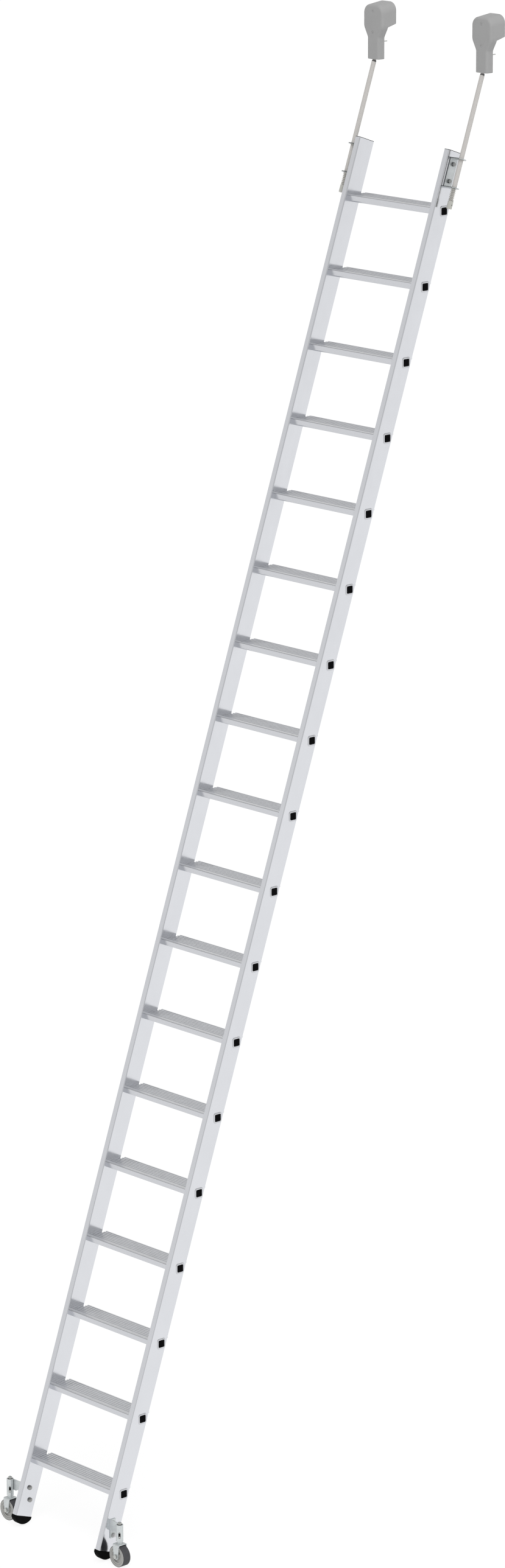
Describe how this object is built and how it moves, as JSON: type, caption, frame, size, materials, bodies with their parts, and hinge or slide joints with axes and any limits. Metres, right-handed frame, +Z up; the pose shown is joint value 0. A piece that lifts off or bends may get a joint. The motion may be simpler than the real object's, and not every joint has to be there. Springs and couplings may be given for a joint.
{
  "type": "rolling shelf ladder",
  "caption": "Aluminium shelf ladder with ribbed box treads, sprung castors and rubber feet below, and sprung rods above with hooded rollers that run along a rail.",
  "frame": {"origin": "centre of the base of the bounding box, at floor level under the castor wheels", "axes": "+X to the climber's right, +Y away from the climber towards the shelves, +Z up"},
  "size_m": [0.6948, 1.9016, 5.429],
  "materials": {
    "bright_aluminium": "polished",
    "ribbed_aluminium": "extruded mill finish",
    "black_plastic": "fine matt",
    "black_rubber": "matt",
    "galvanised_steel": "galvanised",
    "zinc_fasteners": "zinc plated",
    "pale_steel": "satin",
    "spring_steel": "drawn wire",
    "pale_plastic": "matt",
    "grey_moulding": "fine matt",
    "dark_nylon": "matt",
    "grey_hub": "satin",
    "tyre_rubber": "matt"
  },
  "bodies": {
    "frame": {"stile_left": "bright_aluminium", "stile_right": "bright_aluminium", "tread_01": "ribbed_aluminium", "tread_02": "ribbed_aluminium", "tread_03": "ribbed_aluminium", "tread_04": "ribbed_aluminium", "tread_05": "ribbed_aluminium", "tread_06": "ribbed_aluminium", "tread_07": "ribbed_aluminium", "tread_08": "ribbed_aluminium", "tread_09": "ribbed_aluminium", "tread_10": "ribbed_aluminium", "tread_11": "ribbed_aluminium", "tread_12": "ribbed_aluminium", "tread_13": "ribbed_aluminium", "tread_14": "ribbed_aluminium", "tread_15": "ribbed_aluminium", "tread_16": "ribbed_aluminium", "tread_17": "ribbed_aluminium", "tread_18": "ribbed_aluminium", "tread_end_plugs": "black_plastic", "stile_top_plugs": "black_plastic", "foot_left": "black_rubber", "foot_right": "black_rubber", "rod_guide_left": "galvanised_steel", "rod_guide_right": "galvanised_steel", "rod_guide_sleeves": "pale_plastic", "rod_guide_bolts": "zinc_fasteners", "castor_housing_left": "galvanised_steel", "castor_housing_right": "galvanised_steel", "castor_housing_bolts": "zinc_fasteners", "castor_top_caps": "galvanised_steel"},
    "rod_left": {"rod_left": "pale_steel", "rod_collar_left": "zinc_fasteners", "rod_spring_left": "spring_steel", "rod_bumper_left": "black_rubber"},
    "head_left": {"head_cover_left": "grey_moulding", "head_carrier_left": "galvanised_steel", "head_pins_left": "zinc_fasteners", "head_screws_left": "zinc_fasteners"},
    "roller_left": {"rail_roller_left": "dark_nylon"},
    "castor_left": {"castor_fork_left": "galvanised_steel", "castor_pins_left": "zinc_fasteners", "castor_spring_left": "spring_steel"},
    "wheel_left": {"wheel_hub_left": "grey_hub", "wheel_tyre_left": "tyre_rubber"},
    "rod_right": {"rod_right": "pale_steel", "rod_collar_right": "zinc_fasteners", "rod_spring_right": "spring_steel", "rod_bumper_right": "black_rubber"},
    "head_right": {"head_cover_right": "grey_moulding", "head_carrier_right": "galvanised_steel", "head_pins_right": "zinc_fasteners", "head_screws_right": "zinc_fasteners"},
    "roller_right": {"rail_roller_right": "dark_nylon"},
    "castor_right": {"castor_fork_right": "galvanised_steel", "castor_pins_right": "zinc_fasteners", "castor_spring_right": "spring_steel"},
    "wheel_right": {"wheel_hub_right": "grey_hub", "wheel_tyre_right": "tyre_rubber"}
  },
  "joints": [
    {"name": "rod_slide_left", "type": "slide", "parent": "frame", "child": "rod_left", "axis": [0, 0.3284, 0.9445], "range_m": [0, 0.02], "stiffness_N_per_m": 3000, "springref_m": -0.012, "deforming": ["rod_spring_left"]},
    {"name": "head_pivot_left", "type": "hinge", "parent": "rod_left", "child": "head_left", "pos_m": [-0.2825, 0.89479, 5.2424], "axis": [1, 0, 0], "range_deg": [-19, 1]},
    {"name": "roller_spin_left", "type": "hinge", "parent": "head_left", "child": "roller_left", "pos_m": [-0.2825, 0.92979, 5.3724], "axis": [0, 1, 0], "continuous": true},
    {"name": "castor_slide_left", "type": "slide", "parent": "frame", "child": "castor_left", "axis": [0, 0, 1], "range_m": [0, 0.008], "stiffness_N_per_m": 6000, "springref_m": -0.01, "deforming": ["castor_spring_left"]},
    {"name": "wheel_spin_left", "type": "hinge", "parent": "castor_left", "child": "wheel_left", "pos_m": [-0.3074, -0.90254, 0.04], "axis": [0, 1, 0], "continuous": true},
    {"name": "rod_slide_right", "type": "slide", "parent": "frame", "child": "rod_right", "axis": [0, 0.3284, 0.9445], "range_m": [0, 0.02], "stiffness_N_per_m": 3000, "springref_m": -0.012, "deforming": ["rod_spring_right"]},
    {"name": "head_pivot_right", "type": "hinge", "parent": "rod_right", "child": "head_right", "pos_m": [0.2825, 0.89479, 5.2424], "axis": [1, 0, 0], "range_deg": [-19, 1]},
    {"name": "roller_spin_right", "type": "hinge", "parent": "head_right", "child": "roller_right", "pos_m": [0.2825, 0.92979, 5.3724], "axis": [0, 1, 0], "continuous": true},
    {"name": "castor_slide_right", "type": "slide", "parent": "frame", "child": "castor_right", "axis": [0, 0, 1], "range_m": [0, 0.008], "stiffness_N_per_m": 6000, "springref_m": -0.01, "deforming": ["castor_spring_right"]},
    {"name": "wheel_spin_right", "type": "hinge", "parent": "castor_right", "child": "wheel_right", "pos_m": [0.3074, -0.90254, 0.04], "axis": [0, 1, 0], "continuous": true}
  ]
}
